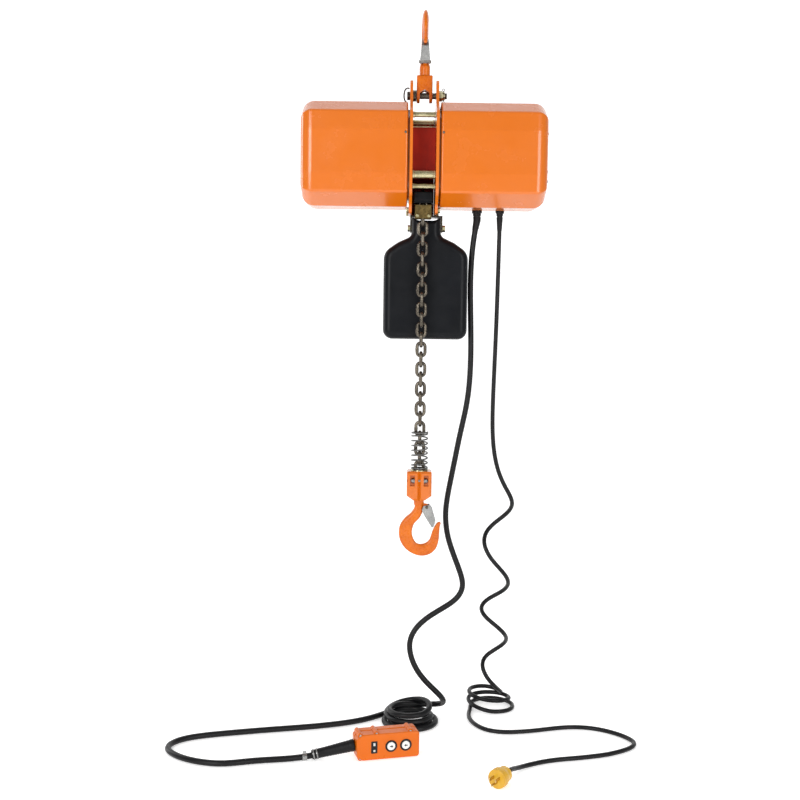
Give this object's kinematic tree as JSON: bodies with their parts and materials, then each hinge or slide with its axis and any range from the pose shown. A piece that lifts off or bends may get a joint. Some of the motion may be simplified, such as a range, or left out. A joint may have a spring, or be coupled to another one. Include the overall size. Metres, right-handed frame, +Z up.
{
  "type": "electric chain hoist",
  "caption": "Electric chain hoist with top hook, two covers on a plate frame, load chain with swivel hook, chain container, pendant on a long cord and a power cord with a plug.",
  "frame": {"origin": "saddle of the top hook, where the crane eye bears", "axes": "+Z up along the line of load, +X along the body from the motor side to the gear side, -Y towards the side of the load chain"},
  "size_m": [0.9788, 0.5391, 1.5258],
  "materials": {
    "orange_paint": "glossy orange enamel with light wear",
    "orange_plastic": "semi-gloss moulded orange plastic",
    "yellow_zinc": "yellow zinc plated steel, slightly dulled",
    "bright_steel": "bright zinc plated steel",
    "dark_steel": "dark oiled steel",
    "cast_iron": "machined cast iron and steel",
    "copper_winding": "laminated steel with varnished copper windings",
    "black_plastic": "satin black moulded plastic",
    "grey_plastic": "grey moulded plastic",
    "black_rubber": "black rubber with a fine sheen",
    "yellow_plastic": "yellow moulded plastic",
    "white_plastic": "off-white moulded plastic"
  },
  "bodies": {
    "top_hook": {"top_hook": "orange_paint", "top_hook_nut": "yellow_zinc", "top_latch_pin": "dark_steel"},
    "top_latch": {"top_latch": "bright_steel"},
    "yoke": {"suspension_yoke": "orange_paint"},
    "hoist": {"left_frame_plate": "orange_paint", "right_frame_plate": "orange_paint", "suspension_pin": "dark_steel", "suspension_pin_nut": "yellow_zinc", "suspension_collar": "dark_steel", "tie_bar_1": "yellow_zinc", "tie_bar_2": "yellow_zinc", "tie_bar_3": "yellow_zinc", "tie_bar_4": "yellow_zinc", "chain_guard": "orange_paint", "chain_guide": "yellow_zinc", "left_cover": "orange_paint", "right_cover": "orange_paint", "motor_flange": "orange_paint", "gear_flange": "orange_paint", "sheave_bearing_left": "bright_steel", "sheave_bearing_right": "bright_steel", "brake_magnet": "black_plastic", "motor_stator": "copper_winding", "gear_case": "cast_iron", "control_panel": "bright_steel", "contactor_pair": "grey_plastic", "pendant_gland": "black_rubber", "power_gland": "black_rubber", "chain_container": "black_plastic", "container_bracket": "dark_steel", "container_bolt": "yellow_zinc"},
    "load_sheave": {"load_sheave": "cast_iron", "output_gear": "cast_iron"},
    "idler_gear": {"idler_gear": "cast_iron"},
    "motor_rotor": {"motor_rotor": "cast_iron", "brake_disc": "dark_steel"},
    "upper_chain": {"upper_chain": "dark_steel"},
    "lower_chain": {"lower_chain": "dark_steel", "buffer_spring": "bright_steel", "hook_block_left": "orange_paint", "hook_block_right": "orange_paint", "chain_anchor_pin": "bright_steel"},
    "load_hook": {"load_hook": "orange_paint", "load_latch_pin": "dark_steel"},
    "load_latch": {"load_latch": "bright_steel"},
    "slack_chain": {"slack_chain": "dark_steel"},
    "cords": {"pendant_cord": "black_rubber", "pendant_coil": "black_rubber", "pendant_lead": "black_rubber", "power_cord": "black_rubber", "power_coil": "black_rubber", "power_lead": "black_rubber", "power_plug": "yellow_plastic", "pendant_boot": "black_rubber", "pendant_case": "orange_plastic", "pendant_back": "orange_plastic"},
    "up_button": {"up_button": "white_plastic"},
    "down_button": {"down_button": "white_plastic"}
  },
  "joints": [
    {"name": "top_latch_hinge", "type": "hinge", "parent": "top_hook", "child": "top_latch", "pos_m": [0, -0.017, -0.0806], "axis": [-1, 0, 0], "range_deg": [0, 30], "stiffness_Nm_per_rad": 0.05, "springref_deg": -28.65},
    {"name": "hoist_swivel", "type": "hinge", "parent": "top_hook", "child": "yoke", "pos_m": [0, 0, -0.115], "axis": [0, 0, 1], "continuous": true},
    {"name": "hoist_swing", "type": "hinge", "parent": "yoke", "child": "hoist", "pos_m": [0, 0, -0.148], "axis": [1, 0, 0], "range_deg": [-10, 10]},
    {"name": "cord_swing", "type": "hinge", "parent": "hoist", "child": "cords", "pos_m": [0.141, 0.034, -0.3945], "axis": [1, 0, 0], "range_deg": [-10, 10]},
    {"name": "motor_spin", "type": "hinge", "parent": "hoist", "child": "motor_rotor", "pos_m": [0, 0, -0.27], "axis": [1, 0, 0], "range_deg": [-2304, 2304]},
    {"name": "sheave_spin", "type": "hinge", "parent": "hoist", "child": "load_sheave", "pos_m": [0, 0, -0.27], "axis": [1, 0, 0], "range_deg": [-145, 145]},
    {"name": "idler_spin", "type": "hinge", "parent": "hoist", "child": "idler_gear", "pos_m": [0.06, 0.0503, -0.27], "axis": [1, 0, 0], "range_deg": [-578, 578]},
    {"name": "hook_lift", "type": "slide", "parent": "hoist", "child": "upper_chain", "axis": [0, 0, 1], "range_m": [-0.0845, 0.0845]},
    {"name": "slack_travel", "type": "slide", "parent": "hoist", "child": "slack_chain", "axis": [0, 0, 1], "range_m": [-0.0845, 0.0845]},
    {"name": "chain_swing", "type": "hinge", "parent": "upper_chain", "child": "lower_chain", "pos_m": [0, -0.0342, -0.5002], "axis": [0, 1, 0], "range_deg": [-8, 8]},
    {"name": "load_swivel", "type": "hinge", "parent": "lower_chain", "child": "load_hook", "pos_m": [0, -0.0342, -0.98], "axis": [0, 0, 1], "continuous": true},
    {"name": "load_latch_hinge", "type": "hinge", "parent": "load_hook", "child": "load_latch", "pos_m": [0.017, -0.0342, -1.0143], "axis": [0, 1, 0], "range_deg": [0, 30], "stiffness_Nm_per_rad": 0.05, "springref_deg": -28.65},
    {"name": "up_button_press", "type": "slide", "parent": "cords", "child": "up_button", "axis": [-0.2538, 0.9673, 0], "range_m": [0, 0.003], "stiffness_N_per_m": 600, "springref_m": -0.002},
    {"name": "down_button_press", "type": "slide", "parent": "cords", "child": "down_button", "axis": [-0.2538, 0.9673, 0], "range_m": [0, 0.003], "stiffness_N_per_m": 600, "springref_m": -0.002}
  ],
  "couplings": [
    {"joint": "cord_swing", "follows": "hoist_swing", "ratio": -1},
    {"joint": "sheave_spin", "follows": "motor_spin", "ratio": 0.0625},
    {"joint": "idler_spin", "follows": "motor_spin", "ratio": -0.25},
    {"joint": "hook_lift", "follows": "motor_spin", "m_per_rad": -0.0020889},
    {"joint": "slack_travel", "follows": "motor_spin", "m_per_rad": 0.0020889}
  ]
}
